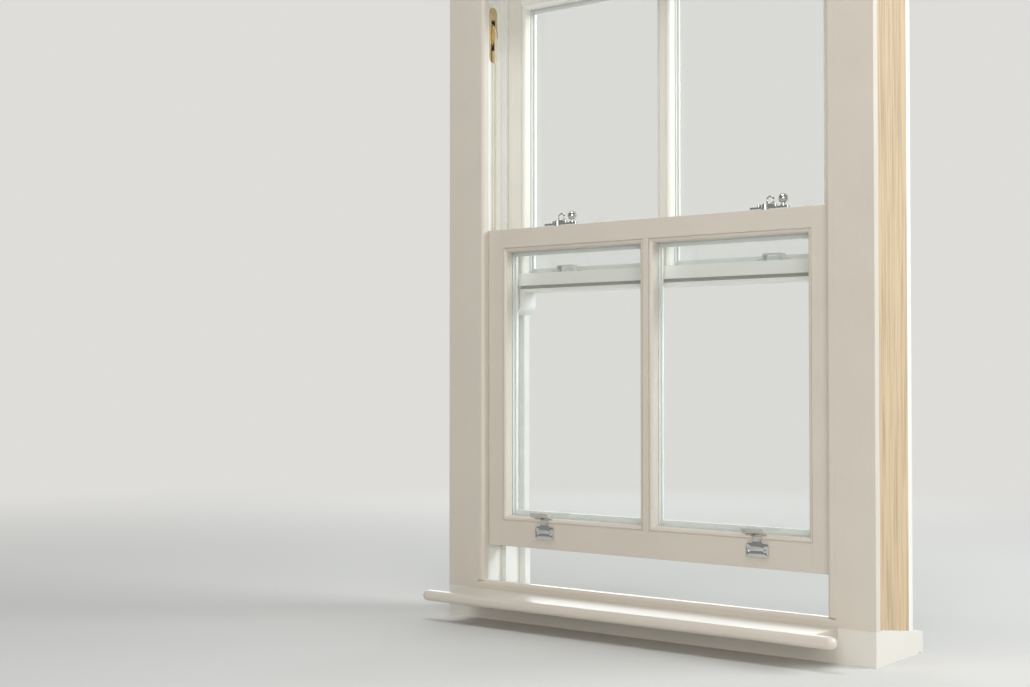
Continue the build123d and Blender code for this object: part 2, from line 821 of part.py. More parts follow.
def arm_ring(level):
    """Upright finger ring that stands on the arm's bridge."""
    centre = level + ring_radius + ring_wire / 2 - ring_sink
    return Pos(ring_reach, 0, centre) * (Rot(90, 0, 0) * Torus(ring_radius, ring_wire / 2))


def arm_knob(level):
    """Round knob on a stem with a collar, near the lever's tip."""
    collar = rod((knob_reach, 0, level), (knob_reach, 0, level + knob_collar_height),
                 knob_collar_diameter)
    stem = rod((knob_reach, 0, level), (knob_reach, 0, knob_level), knob_stem_diameter)
    return collar + stem + Pos(knob_reach, 0, knob_level) * Sphere(knob_diameter / 2)


def fastener_keep():
    """Strip bent into an arch that the arm's nose locks under, centred on its length."""
    half = keep_length / 2
    foot = keep_arch_width / 2
    top = keep_arch_height
    skin = keep_thickness
    shoulder = foot - keep_arch_slope
    outer = [(-half, 0), (-half, skin), (-foot, skin), (-shoulder, top), (shoulder, top),
             (foot, skin), (half, skin), (half, 0), (foot - skin, 0), (shoulder - skin, top - skin),
             (-shoulder + skin, top - skin), (-foot + skin, 0)]
    strip = prism_y(outer, 0, keep_depth)
    crown = strip.edges().filter_by(Axis.Y).group_by(Axis.Z)[-1]
    return fillet(crown, skin)


def fasteners():
    """Bases and arms on the lower meeting rail, keeps on the upper one."""
    pieces = {}
    bases = []
    keeps = []
    for side, x in (("left", -fastener_spacing / 2), ("right", fastener_spacing / 2)):
        bases.append(Pos(x, fastener_set_back, lower_top) * fastener_base())
        pieces["fastener_arm_" + side] = Pos(x, fastener_set_back, lower_top) * fastener_arm()
        keeps.append(Pos(x, upper_front + keep_set_back, meeting_level) * fastener_keep())
    pieces["fastener_bases"] = Compound(bases)
    pieces["fastener_keeps"] = Compound(keeps)
    return pieces


def lift_hook():
    """Hook of a lift: a strip that rises from the plate, curls out and up. x is -Y, y is Z."""
    skin = lift_plate_thickness
    base = lift_foot_level + lift_plate_height
    start = base + lift_neck_height
    neck = lift_neck_radius
    lip = lift_lip_radius
    run = Line((skin / 2, base - skin), (skin / 2, start))
    out = CenterArc((skin / 2 + neck, start), neck, 180, -90)
    up = CenterArc((skin / 2 + neck, start + neck + lip), lip, -90, 90)
    return trace(run + out + up, line_width=skin)


def sash_lift():
    """Hook lift on the bottom rail, centred on its width, its plate on the rail's face."""
    half = lift_plate_width / 2
    level = lower_bottom + lift_foot_level
    plate = block(-half, half, -lift_plate_thickness, 0, level, level + lift_plate_height)
    plate = fillet(plate.edges().filter_by(Axis.Y), lift_plate_corner)
    for side in (-1, 1):
        x = side * lift_screw_spacing / 2
        middle = level + lift_plate_height / 2
        plate -= rod((x, -lift_plate_thickness, middle), (x, 0, middle), screw_diameter)
    plane = Plane(origin=(0, 0, lower_bottom), x_dir=(0, -1, 0), z_dir=(-1, 0, 0))
    hook = extrude(plane * lift_hook(), lift_hook_width / 2, both=True)
    waist = lift_waist(level + lift_plate_height)
    return plate + hook - waist - mirrored(waist)


def lift_waist(level):
    """What is cut from one side of the hook to leave its narrow neck above the plate."""
    reach = lift_neck_radius + lift_lip_radius + lift_plate_thickness
    cut = block(lift_waist_width / 2, lift_plate_width, -reach, 0, level, level + lift_waist_height)
    return fillet(cut.edges().filter_by(Axis.Y).group_by(Axis.X)[0], lift_waist_radius)


def sash_lifts():
    """Both lifts."""
    lift = sash_lift()
    return Compound([Pos(-lift_spacing / 2, 0, 0) * lift, Pos(lift_spacing / 2, 0, 0) * lift])


def frame_pieces():
    """Sill, board, boxes, head and beads."""
    sill = sill_body()
    stile = pulley_stile()
    stiles = stile + mirrored(stile)
    parting = parting_bead_left()
    head = head_body()
    slip_hole = parting_slip(slip_fit)
    bead = parting - sill
    pieces = {
        "pulley_stile": stile,
        "inner_lining": inner_lining_left() - stile - sill,
        "outer_lining": outer_lining_left() - stile - sill,
        "back_lining": back_lining_left() - sill,
        "parting_bead": bead,
        "staff_bead": staff_bead_left(),
        "pocket_piece": pocket_shape(seat_gap),
        "parting_slip": parting_slip(0),
    }
    both = {}
    for name, shape in pieces.items():
        both[name + "_left"] = shape
        both[name + "_right"] = mirrored(shape)
    both["sill"] = sill - stiles - board_tongue()
    both["window_board"] = window_board()
    both["head"] = head - stiles - slip_hole - mirrored(slip_hole) - parting_bead_head()
    both["inner_lining_head"] = inner_lining_head() - head
    both["outer_lining_head"] = outer_lining_head() - head
    both["parting_bead_head"] = parting_bead_head()
    both["staff_bead_head"] = staff_bead_head()
    both["staff_bead_sill"] = staff_bead_sill()
    return both


def all_pieces():
    """Every piece of the window by the name of its file."""
    lower_weight_top, upper_weight_top = weight_tops()
    pieces = frame_pieces()
    pieces.update(lower_sash())
    pieces.update(upper_sash())
    pieces.update(glazing("lower", 0, lower_bottom + bottom_rail_face,
                          lower_top - lower_meeting_face))
    pieces.update(glazing("upper", upper_front, meeting_level - moulding_width,
                          upper_top - top_rail_face))
    pieces.update(balance("lower", lower_lane, lower_top, lower_weight_top, lower_weight_length))
    pieces.update(balance("upper", upper_lane, upper_top, upper_weight_top, upper_weight_length))
    cases = [pulley_case(lower_lane), pulley_case(upper_lane)]
    pieces["pulley_cases"] = Compound(cases + [mirrored(case) for case in cases])
    pieces.update(fasteners())
    pieces["sash_lifts"] = sash_lifts()
    return pieces


for name, shape in all_pieces().items():
    export_step(shape, f"parts/{name}.step")
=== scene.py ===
import math
import bmesh
import bpy
from mathutils import Matrix, Vector


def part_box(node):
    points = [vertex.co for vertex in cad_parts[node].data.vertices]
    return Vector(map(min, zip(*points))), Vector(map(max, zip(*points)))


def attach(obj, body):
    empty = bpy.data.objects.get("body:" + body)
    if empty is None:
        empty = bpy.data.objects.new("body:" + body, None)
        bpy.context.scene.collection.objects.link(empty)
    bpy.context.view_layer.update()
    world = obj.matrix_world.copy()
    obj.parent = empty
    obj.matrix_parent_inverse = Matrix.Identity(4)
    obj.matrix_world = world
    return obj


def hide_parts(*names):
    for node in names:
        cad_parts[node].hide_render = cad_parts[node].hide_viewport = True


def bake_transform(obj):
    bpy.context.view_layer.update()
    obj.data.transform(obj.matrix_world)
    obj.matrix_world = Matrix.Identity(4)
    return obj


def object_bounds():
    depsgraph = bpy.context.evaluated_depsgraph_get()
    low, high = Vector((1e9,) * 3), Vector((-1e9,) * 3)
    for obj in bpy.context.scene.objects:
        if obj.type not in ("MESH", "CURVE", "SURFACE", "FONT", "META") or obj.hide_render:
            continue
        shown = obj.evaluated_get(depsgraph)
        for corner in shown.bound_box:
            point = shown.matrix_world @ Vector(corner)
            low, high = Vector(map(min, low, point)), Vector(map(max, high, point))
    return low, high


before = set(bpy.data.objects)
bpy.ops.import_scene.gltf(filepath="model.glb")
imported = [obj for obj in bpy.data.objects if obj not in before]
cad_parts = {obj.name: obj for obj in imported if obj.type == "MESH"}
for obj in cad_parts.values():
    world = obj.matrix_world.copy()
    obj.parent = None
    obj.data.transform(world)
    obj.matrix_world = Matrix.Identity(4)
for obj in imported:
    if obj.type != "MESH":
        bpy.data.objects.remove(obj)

cad_low, cad_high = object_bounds()

# Looks of a timber box sash window. Its CAD nodes get paint, glass and metal, and screws, plaited
# cords and a brush seal are added, in soft studio light from the photograph's viewpoint.

# Colours, as sRGB levels out of 255. One paint is paler in some places, as the photograph shows it.
# The paler copies on the upper sash and its rails are painted light
ROOM_PAINT = (212, 205, 194)
# Painted light: the room paint made paler on the upper sash's stiles and bar, which lie in shade
UPPER_PAINT_WITH_PAINTED_LIGHT = (231, 229, 221)
# Painted light: paler still on the upper sash's rails, whose meeting rail lies in the lower sash's
# shade
RAIL_PAINT_WITH_PAINTED_LIGHT = (247, 247, 243)
SILL_PAINT = (222, 219, 211)
OUTER_PAINT = (230, 231, 227)
# Painted light: the outside white made whiter on the glazing beads, whose faces toward the room lie in
# shade
BEAD_PAINT_WITH_PAINTED_LIGHT = (240, 241, 238)
# Painted light: the spacers' aluminium grey made paler, where they lie in shade at the panes' edges
SPACER_GREY_WITH_PAINTED_LIGHT = (220, 222, 219)
BARE_PINE = (203, 180, 146)
# Painted light: the brush pile's grey made paler, in the shaded recess under the rail's nose
PILE_GREY_WITH_PAINTED_LIGHT = (190, 188, 180)
CORD_COTTON = (214, 204, 182)
IRON = (74, 70, 67)
BRASS = (204, 188, 152)
CHROME = (214, 214, 212)
BACKDROP = (222, 221, 218)
FLOOR = (214, 213, 210)

# Colours, as linear RGBA
RUST = (0.12, 0.055, 0.03, 1.0)
GLASS_BODY = (0.988, 0.997, 0.993, 1.0)
GLASS_SHADOW = (0.98, 0.988, 0.985, 1.0)

# Scales of noise along X, Y and Z, so that it runs with the grain of a piece
GRAIN = {"up": (1, 1, 0.03), "across": (0.03, 1, 1), "rings": (1, 1, 0.035), "fibres": (1, 1, 0.02)}

# Ranges of noise: where most of a fine one and of a broad one lies, and where pine's dark rings
# and the rust on iron come in
FINE_RANGE = (0.3, 0.7)
BROAD_RANGE = (0.25, 0.75)
RING_RANGE = (0.42, 0.66)
RUST_RANGE = (0.5, 0.75)

# Shares of the colour that are left in pine's dark rings and in the grain of a dull finish, and how
# much rougher that grain is
RING_SHARE = 0.7
GRAIN_SHARE = 0.86
GRAIN_WEAR = 0.1

# Half the depth over which one paint turns into another, in metres
CHANGEOVER = 0.0005

# Rounded edges: widths and the distance at which points join, in metres, then the steepest slope
# that counts as flat and the least one that counts as an edge, in degrees
EDGE_WIDTH = {"timber": 0.00035, "metal": 0.0003}
JOIN_DISTANCE = 0.00001
FLAT_ANGLE = 0.6
EDGE_ANGLE = 38

# Light: linear colours, the levels at which they shine, and the shares of the backdrop's colour that
# metal and glass mirror from the room and from overhead
ROOM_LIGHT = (1.0, 0.955, 0.895)
SKY_LIGHT = (0.93, 0.97, 1.0)
ROOM_LEVEL = 0.28
SKY_LEVEL = 0.38
MIRRORED_ROOM = 0.4
MIRRORED_TOP = 0.15

# Where the surround turns from one to the other, by the Y or Z of a direction of length 1
ROOM_TO_SKY = (-0.35, 0.45)
BACKDROP_TO_ROOM = (0.25, -0.45)
ROOM_TO_TOP = (0.2, 0.75)

# Lamps: name, place and size in metres, power in watts and colour. All face one target
LAMPS = [
    ("daylight", (3.5, 2.0, 2.4), (2.6, 2.2), 142, SKY_LIGHT),
    ("low_sky", (-2.3, 3.4, 1.5), (3.0, 2.0), 62, SKY_LIGHT),
    ("room_fill", (2.3, -3.3, 1.1), (2.2, 1.8), 62, ROOM_LIGHT),
    ("ceiling", (0.2, -1.3, 4.0), (2.2, 1.6), 60, SKY_LIGHT),
]
LAMP_TARGET = (0, 0, 0.75)

# The floor's radius, and the distances between which it fades into the backdrop, in metres
FLOOR_RADIUS = 40
FLOOR_FADE = (1.2, 4.5)

# The photograph's viewpoint: place in metres, turn in degrees, lens and sensor in millimetres
CAMERA_PLACE = (1.6603, -2.5294, 0.5214)
CAMERA_TURN = (91.265, 0, 38.252)
CAMERA_LENS = 52.43
CAMERA_SENSOR = 36

# The window's sides with the sign of their X, and its sashes
SIDES = {"left": -1, "right": 1}
SASHES = ("lower", "upper")

# Cords, in metres. The route repeats sizes of the source: the radius round a wheel, and how far
# under the tops of a stile and of a weight a cord ends
CORD_RADIUS = 0.003
PITCH_RADIUS = 0.028
CORD_ANCHOR = 0.185
CORD_BORE = 0.020
CORD_STEP = 0.0016
CORD_SIDES = 20

# Plait of the cords: the length in which a strand winds half round, in metres, the strands that wind
# each way, and the depth of the grooves between them as a share of the radius
PLAIT_LENGTH = 0.011
PLAIT_STRANDS = 4
PLAIT_DEPTH = 0.1

# Places of the fittings' screws, in metres. A reach is from the middle of one fitting
LIFT_SPACING = 0.506
LIFT_SCREW_REACH = 0.017
LIFT_SCREW_LEVEL = 0.0135
LIFT_PLATE = 0.003
FASTENER_SPACING = 0.500
FASTENER_PLATE = 0.0025
BASE_SCREW_REACH = 0.0225
KEEP_SCREW_REACH = 0.028
PULLEY_SCREW_REACH = 0.0495

# Screw heads in millimetres: diameter, height of dome, width and depth of slot, crossed or not
LIFT_SCREW = (6.6, 0.9, 1.3, 1.1, True)
PLATE_SCREW = (5.6, 0.8, 1.0, 0.9, False)
PULLEY_SCREW = (7.0, 0.5, 1.1, 0.9, False)

# Every screw head, in millimetres: how far its foot and its rim lie under the plate's face, and the
# radius of the flat on its dome
FOOT_DROP = 1.0
RIM_DROP = 0.05
DOME_FLAT = 0.05

# The foot's radius as a share of the head's, and the lengths of a slot and of a cross as shares of
# the head's diameter
FOOT_SHARE = 0.6
SLOT_SHARE = 1.3
CROSS_SHARE = 0.58

# Steps up a head's dome and sides round it
DOME_STEPS = 6
HEAD_SIDES = 32

# How the slots are turned, in radians: the first one, and from each one to the next
FIRST_TURN = 0.5
TURN_BETWEEN = 2.4

# Recess for the seal under the nose of the upper meeting rail, in metres
STILE_FACE = 0.047
NOSE_HEIGHT = 0.027
RECESS_HEIGHT = 0.007
RECESS_DEPTH = 0.0045

# Brush pile of the seal, in metres: its backing, and the tufts in two rows. A tip is a share
BACKING_DEPTH = 0.0008
BACKING_HEIGHT = 0.0066
ROW_SPACING = 0.0032
TUFT_SPACING = 0.0017
TUFT_WIDTH = 0.0012
TUFT_HEIGHT = 0.0022
TUFT_SETBACK = 0.0004
TUFT_SWAY = 0.0006
TUFT_TIP = 0.6


def linear(colour):
    """Linear RGBA of an sRGB colour out of 255."""
    def channel(level):
        c = level / 255
        return c / 12.92 if c <= 0.04045 else ((c + 0.055) / 1.055) ** 2.4
    return tuple(channel(level) for level in colour) + (1.0,)


def dimmed(colour, share):
    """A share of a linear colour, as RGBA."""
    return tuple(c * share for c in colour[:3]) + (1.0,)


class Graph:
    """Short calls for building a node tree."""

    def __init__(self, tree):
        self.tree = tree
        tree.nodes.clear()

    def add(self, kind, inputs=None, **settings):
        """A node with its settings and its inputs: a value or another node's output."""
        node = self.tree.nodes.new(kind)
        for name, value in settings.items():
            setattr(node, name, value)
        for name, value in (inputs or {}).items():
            socket = node.inputs[name]
            if isinstance(value, bpy.types.NodeSocket):
                self.tree.links.new(value, socket)
            else:
                socket.default_value = value
        return node

    def math(self, operation, *values):
        """Result of a math node."""
        return self.add("ShaderNodeMath", dict(enumerate(values)), operation=operation).outputs[0]

    def mix_colour(self, factor, a, b, blend="MIX"):
        """Two colours mixed by a factor. The node's colour sockets have these numbers."""
        return self.add("ShaderNodeMix", {0: factor, 6: a, 7: b},
                        data_type="RGBA", blend_type=blend).outputs[2]

    def ramp(self, value, span, to=(0.0, 1.0), smooth=False):
        """A value carried from one span to another, and held at its ends."""
        kind = "SMOOTHSTEP" if smooth else "LINEAR"
        ends = {1: span[0], 2: span[1], 3: to[0], 4: to[1]}
        return self.add("ShaderNodeMapRange", {0: value, **ends}, interpolation_type=kind).outputs[0]

    def place(self, scale=(1, 1, 1)):
        """Object coordinates in metres, scaled."""
        place = self.add("ShaderNodeTexCoord").outputs["Object"]
        return self.add("ShaderNodeMapping", {"Vector": place, "Scale": scale}).outputs[0]

    def axes(self, vector):
        """X, Y and Z of a vector."""
        return self.add("ShaderNodeSeparateXYZ", {0: vector}).outputs

    def noise(self, scale, detail, roughness=0.5, grain=(1, 1, 1)):
        """Noise from 0 to 1 in object coordinates, its scale per metre, stretched along the grain."""
        return self.add("ShaderNodeTexNoise", {
            "Vector": self.place(grain), "Scale": scale, "Detail": detail,
            "Roughness": roughness}).outputs["Fac"]

    def bump(self, height, strength, distance):
        """Normal of a surface that a height disturbs, the distance in metres."""
        return self.add("ShaderNodeBump", {
            "Strength": strength, "Distance": distance, "Height": height}).outputs[0]

    def coloured(self, kind, colour):
        """A shader of a kind that takes a colour alone."""
        return self.add(kind, {"Color": colour}).outputs[0]

    def mix_shader(self, factor, a, b):
        """Two shaders mixed by a factor."""
        return self.add("ShaderNodeMixShader", {0: factor, 1: a, 2: b}).outputs[0]

    def principled(self, inputs):
        """A principled shader."""
        return self.add("ShaderNodeBsdfPrincipled", inputs).outputs[0]

    def surface(self, shader):
        """Sends a shader to the material's output."""
        self.add("ShaderNodeOutputMaterial", {"Surface": shader})


def new_material(name):
    """An empty material and its graph."""
    material = bpy.data.materials.new(name)
    material.use_nodes = True
    return material, Graph(material.node_tree)


def paint(name, colour, run, outer_from=None):
    """Brushed satin paint. Outdoors of the depth outer_from it turns into the outer paint."""
    material, graph = new_material(name)
    marks = graph.noise(scale=620, detail=4, roughness=0.6, grain=GRAIN[run])
    broad = graph.noise(scale=7, detail=3)
    tint = linear(colour)
    if outer_from is not None:
        depth = graph.axes(graph.place())["Y"]
        side = graph.ramp(depth, (outer_from - CHANGEOVER, outer_from + CHANGEOVER))
        tint = graph.mix_colour(side, tint, linear(OUTER_PAINT))
    shade = graph.ramp(broad, BROAD_RANGE, to=(0.968, 1.02))
    stroke = graph.ramp(marks, FINE_RANGE, to=(0.985, 1.012))
    level = graph.math("MULTIPLY", shade, stroke)
    graph.surface(graph.principled({
        "Base Color": graph.mix_colour(1.0, tint, level, blend="MULTIPLY"),
        "Roughness": graph.ramp(broad, BROAD_RANGE, to=(0.3, 0.37)),
        "Normal": graph.bump(marks, strength=0.1, distance=0.0004)}))
    return material


def bare_timber():
    """Unpainted pine inside the boxes."""
    material, graph = new_material("bare_timber")
    rings = graph.noise(scale=150, detail=4, roughness=0.55, grain=GRAIN["rings"])
    fibres = graph.noise(scale=1400, detail=2, grain=GRAIN["fibres"])
    light = linear(BARE_PINE)
    dark = dimmed(light, RING_SHARE)
    graph.surface(graph.principled({
        "Base Color": graph.mix_colour(graph.ramp(rings, RING_RANGE), light, dark),
        "Roughness": graph.ramp(fibres, FINE_RANGE, to=(0.6, 0.8)),
        "Normal": graph.bump(fibres, strength=0.3, distance=0.0004)}))
    return material


def metal(name, colour, roughness, wear):
    """Polished metal. Wear is how much rougher its dullest patches are."""
    material, graph = new_material(name)
    patches = graph.noise(scale=160, detail=4)
    graph.surface(graph.principled({
        "Base Color": linear(colour), "Metallic": 1.0,
        "Roughness": graph.ramp(patches, FINE_RANGE, to=(roughness, roughness + wear)),
        "Normal": graph.bump(patches, strength=0.03, distance=0.0003)}))
    return material


def cast_iron():
    """Rough cast weights with a thin dull skin and traces of rust."""
    material, graph = new_material("weight_iron")
    grit = graph.noise(scale=420, detail=5, roughness=0.65)
    stains = graph.noise(scale=26, detail=4)
    graph.surface(graph.principled({
        "Base Color": graph.mix_colour(graph.ramp(stains, RUST_RANGE), linear(IRON), RUST),
        "Metallic": 0.35,
        "Roughness": graph.ramp(grit, FINE_RANGE, to=(0.5, 0.75)),
        "Normal": graph.bump(grit, strength=0.5, distance=0.0008)}))
    return material


def glass():
    """Clear glass with a faint green body. Light passes it without a dark shadow."""
    material, graph = new_material("glass")
    ripple = graph.noise(scale=3, detail=1)
    body = graph.principled({
        "Base Color": GLASS_BODY, "Roughness": 0.0, "IOR": 1.45, "Transmission Weight": 1.0,
        "Normal": graph.bump(ripple, strength=0.004, distance=0.001)})
    clear = graph.coloured("ShaderNodeBsdfTransparent", GLASS_SHADOW)
    path = graph.add("ShaderNodeLightPath").outputs
    passing = graph.math("MAXIMUM", path["Is Shadow Ray"], path["Is Diffuse Ray"])
    graph.surface(graph.mix_shader(passing, body, clear))
    return material


def plain(name, colour, roughness):
    """A dull finish with a fine grain, for spacers, cords and brush pile."""
    material, graph = new_material(name)
    grain = graph.noise(scale=900, detail=3)
    light = linear(colour)
    dark = dimmed(light, GRAIN_SHARE)
    graph.surface(graph.principled({
        "Base Color": graph.mix_colour(graph.ramp(grain, FINE_RANGE), light, dark),
        "Roughness": graph.ramp(grain, FINE_RANGE, to=(roughness, roughness + GRAIN_WEAR)),
        "Normal": graph.bump(grain, strength=0.15, distance=0.0003)}))
    return material


def soften(node, kind):
    """Small rounded edges on a CAD node. Timber stays flat between them, metal is slightly crowned."""
    timber = kind == "timber"
    for polygon in node.data.polygons:
        polygon.use_smooth = True
    weld = node.modifiers.new("weld", "WELD")
    weld.merge_threshold = JOIN_DISTANCE
    if timber:
        flat = node.modifiers.new("flat", "DECIMATE")
        flat.decimate_type = "DISSOLVE"
        flat.angle_limit = math.radians(FLAT_ANGLE)
    bevel = node.modifiers.new("edges", "BEVEL")
    bevel.width = EDGE_WIDTH[kind]
    bevel.segments = 2
    bevel.limit_method = "ANGLE"
    bevel.angle_limit = math.radians(EDGE_ANGLE)
    bevel.miter_outer = "MITER_ARC"
    bevel.face_strength_mode = "FSTR_ALL"
    # Timber takes its normals from its flat faces. Metal keeps averaged ones, which crown its plates
    bevel.harden_normals = not timber
    if timber:
        level = node.modifiers.new("level", "WEIGHTED_NORMAL")
        level.use_face_influence = True


def dress(names, material, kind=None):
    """Gives CAD nodes their material, and rounds their edges where a kind of edge is given."""
    for name in names:
        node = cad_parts[name]
        node.data.materials.clear()
        node.data.materials.append(material)
        if kind is not None:
            soften(node, kind)


def both(*names):
    """Left and right nodes of each name."""
    return [f"{name}_{side}" for name in names for side in SIDES]


def dress_timber():
    """Paint on the sashes and the frame, bare pine inside the boxes."""
    # Depths at which the outer paint takes over
    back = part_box("lower_stile_left")[1].y - CHANGEOVER
    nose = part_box("lower_meeting_rail")[1].y - CHANGEOVER
    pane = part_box("upper_glass_left")[0].y
    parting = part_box("parting_bead_left")[0].y
    coats = [
        ("lower_up", ROOM_PAINT, "up", back, both("lower_stile") + ["lower_glazing_bar"]),
        ("lower_across", ROOM_PAINT, "across", back, ["lower_bottom_rail"]),
        ("lower_meeting", ROOM_PAINT, "across", nose, ["lower_meeting_rail"]),
        # The upper sash's two coats are paler copies of the room paint: painted light
        ("upper_up_painted_light", UPPER_PAINT_WITH_PAINTED_LIGHT, "up", pane, both("upper_stile") + ["upper_glazing_bar"]),
        ("upper_across_painted_light", RAIL_PAINT_WITH_PAINTED_LIGHT, "across", pane, ["upper_top_rail", "upper_meeting_rail"]),
        ("frame_up", ROOM_PAINT, "up", parting, both("inner_lining", "staff_bead")),
        ("frame_across", ROOM_PAINT, "across", parting,
         ["window_board", "inner_lining_head", "staff_bead_head", "staff_bead_sill"]),
        ("outer_up", OUTER_PAINT, "up", None,
         both("pulley_stile", "pocket_piece", "parting_bead", "outer_lining")),
        ("outer_across", OUTER_PAINT, "across", None,
         ["head", "outer_lining_head", "parting_bead_head"]),
        ("sill", SILL_PAINT, "across", None, ["sill"]),
    ]
    for name, colour, run, outer_from, nodes in coats:
        dress(nodes, paint(f"paint_{name}", colour, run, outer_from), "timber")
    # The glazing beads' paint is the outside white made whiter: painted light
    dress(["lower_glazing_beads", "upper_glazing_beads"], paint("paint_beads_painted_light", BEAD_PAINT_WITH_PAINTED_LIGHT, "up"))
    dress(both("parting_slip", "back_lining"), bare_timber(), "timber")


def dress_fittings():
    """Glass, spacers, chrome, pulleys, cords and weights, with the pieces that are added to them."""
    chrome = metal("chrome", CHROME, roughness=0.03, wear=0.04)
    brass = metal("pulley_brass", BRASS, roughness=0.22, wear=0.06)
    cord = plain("cord", CORD_COTTON, roughness=0.8)
    dress(both("lower_glass", "upper_glass"), glass())
    # The spacers' colour is their grey made paler: painted light
    dress(["lower_spacers", "upper_spacers"], plain("spacer", SPACER_GREY_WITH_PAINTED_LIGHT, roughness=0.4))
    dress(both("fastener_arm"), chrome)
    dress(["fastener_bases", "fastener_keeps", "sash_lifts"], chrome, "metal")
    dress(["pulley_cases"] + both("lower_wheel", "upper_wheel"), brass)
    dress(both("lower_weight", "upper_weight"), cast_iron())
    dress(both("lower_cord", "upper_cord"), cord)
    build_screws(chrome, brass)
    build_cords(cord)
    # The pile's grey is made paler: painted light in its shaded recess
    build_seal(plain("pile", PILE_GREY_WITH_PAINTED_LIGHT, roughness=0.85))


def add_object(name, data):
    """A new object in the scene, for a mesh, a lamp or a camera."""
    thing = bpy.data.objects.new(name, data)
    bpy.context.scene.collection.objects.link(thing)
    return thing


def mesh_object(name, mesh):
    """A new object in the scene from a bmesh, which is freed."""
    data = bpy.data.meshes.new(name)
    mesh.to_mesh(data)
    mesh.free()
    return add_object(name, data)


def new_piece(name, mesh, material, body):
    """A finished piece from a bmesh, with its material and body. A piece given no body is left
    unattached here.
    """
    piece = mesh_object(name, mesh)
    piece.data.materials.append(material)
    if body is not None:
        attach(piece, body)
    return piece


def skin(mesh, rings, smooth=False):
    """Faces between the rings of points in a bmesh, and over the first and the last of them."""
    sides = len(rings[0])
    for low, high in zip(rings, rings[1:]):
        for side in range(sides):
            after = (side + 1) % sides
            mesh.faces.new((low[side], low[after], high[after], high[side])).smooth = smooth
    mesh.faces.new(rings[0][::-1])
    mesh.faces.new(rings[-1])
    bmesh.ops.recalc_face_normals(mesh, faces=mesh.faces[:])


def lathe(profile, sides):
    """A closed bmesh turned about Z from (radius, level) points, which start and end off the axis."""
    mesh = bmesh.new()
    angles = [2 * math.pi * side / sides for side in range(sides)]
    rings = [[mesh.verts.new((radius * math.cos(a), radius * math.sin(a), level)) for a in angles]
             for radius, level in profile]
    skin(mesh, rings)
    return mesh


def slot_cutter(span_x, span_y, depth, dome):
    """A helper block that cuts a slot into the top of a dome."""
    mesh = bmesh.new()
    bmesh.ops.create_cube(mesh, size=1)
    bmesh.ops.scale(mesh, vec=(span_x, span_y, 2 * depth), verts=mesh.verts)
    bmesh.ops.translate(mesh, vec=(0, 0, dome), verts=mesh.verts)
    return mesh_object("helper", mesh)


def screw_head(size):
    """Mesh of a screw's head in millimetres, with its slot or cross, on a plate in the XY plane."""
    diameter, dome, width, depth, crossed = size
    radius = diameter / 2
    foot = (radius * FOOT_SHARE, -FOOT_DROP)
    rim = (radius, -RIM_DROP)
    angles = [math.pi / 2 * step / DOME_STEPS for step in range(DOME_STEPS)]
    arc = [(radius * math.cos(a), dome * math.sin(a)) for a in angles]
    head = mesh_object("helper", lathe([foot, rim] + arc + [(DOME_FLAT, dome)], HEAD_SIDES))
    length = diameter * (CROSS_SHARE if crossed else SLOT_SHARE)
    spans = [(length, width), (width, length)] if crossed else [(length, width)]
    cutters = [slot_cutter(span_x, span_y, depth, dome) for span_x, span_y in spans]
    for cutter in cutters:
        cut = head.modifiers.new("slot", "BOOLEAN")
        cut.operation = "DIFFERENCE"
        cut.solver = "EXACT"
        cut.object = cutter
    evaluated = head.evaluated_get(bpy.context.evaluated_depsgraph_get())
    result = bpy.data.meshes.new_from_object(evaluated)
    for helper in [head] + cutters:
        bpy.data.objects.remove(helper)
    return result


def screws(name, size, seats, material, body):
    """Screw heads on one body, each at a place and facing a way, each slot turned differently."""
    head = screw_head(size)
    to_metres = Matrix.Scale(0.001, 4)
    mesh = bmesh.new()
    for index, (place, way) in enumerate(seats):
        facing = Vector(way).to_track_quat("Z", "Y").to_matrix().to_4x4()
        spin = Matrix.Rotation(TURN_BETWEEN * index + FIRST_TURN, 4, "Z")
        count = len(mesh.verts)
        mesh.from_mesh(head)
        mesh.verts.ensure_lookup_table()
        move = Matrix.Translation(place) @ facing @ spin @ to_metres
        bmesh.ops.transform(mesh, matrix=move, verts=mesh.verts[count:])
    new_piece(name, mesh, material, body)


def seats_of_pair(spacing, reach, depth, level, way):
    """Seats of two screws on each of two like fittings, one left and one right of the middle."""
    return [(Vector((side * spacing / 2 + hand * reach, depth, level)), way)
            for side in (-1, 1) for hand in (-1, 1)]


def middle_of(node):
    """Middle of a node's box."""
    low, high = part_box(node)
    return (low + high) / 2


def build_screws(chrome, brass):
    """Screws of the lifts, the fasteners, their keeps and the pulley cases."""
    low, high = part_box("sash_lifts")
    seats = seats_of_pair(LIFT_SPACING, LIFT_SCREW_REACH, high.y - LIFT_PLATE,
                          low.z + LIFT_SCREW_LEVEL, (0, -1, 0))
    screws("lift_screws", LIFT_SCREW, seats, chrome, "lower_sash")
    plates = [("base_screws", "fastener_bases", BASE_SCREW_REACH, "lower_sash"),
              ("keep_screws", "fastener_keeps", KEEP_SCREW_REACH, "upper_sash")]
    for name, node, reach, body in plates:
        seats = seats_of_pair(FASTENER_SPACING, reach, middle_of(node).y,
                              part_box(node)[0].z + FASTENER_PLATE, (0, 0, 1))
        screws(name, PLATE_SCREW, seats, chrome, body)
    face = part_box("pulley_stile_right")[0].x
    seats = []
    for hand, side in SIDES.items():
        for sash in SASHES:
            wheel = middle_of(f"{sash}_wheel_{hand}")
            for reach in (-PULLEY_SCREW_REACH, PULLEY_SCREW_REACH):
                seats.append((Vector((side * face, wheel.y, wheel.z + reach)), (-side, 0, 0)))
    screws("pulley_screws", PULLEY_SCREW, seats, brass, "frame")


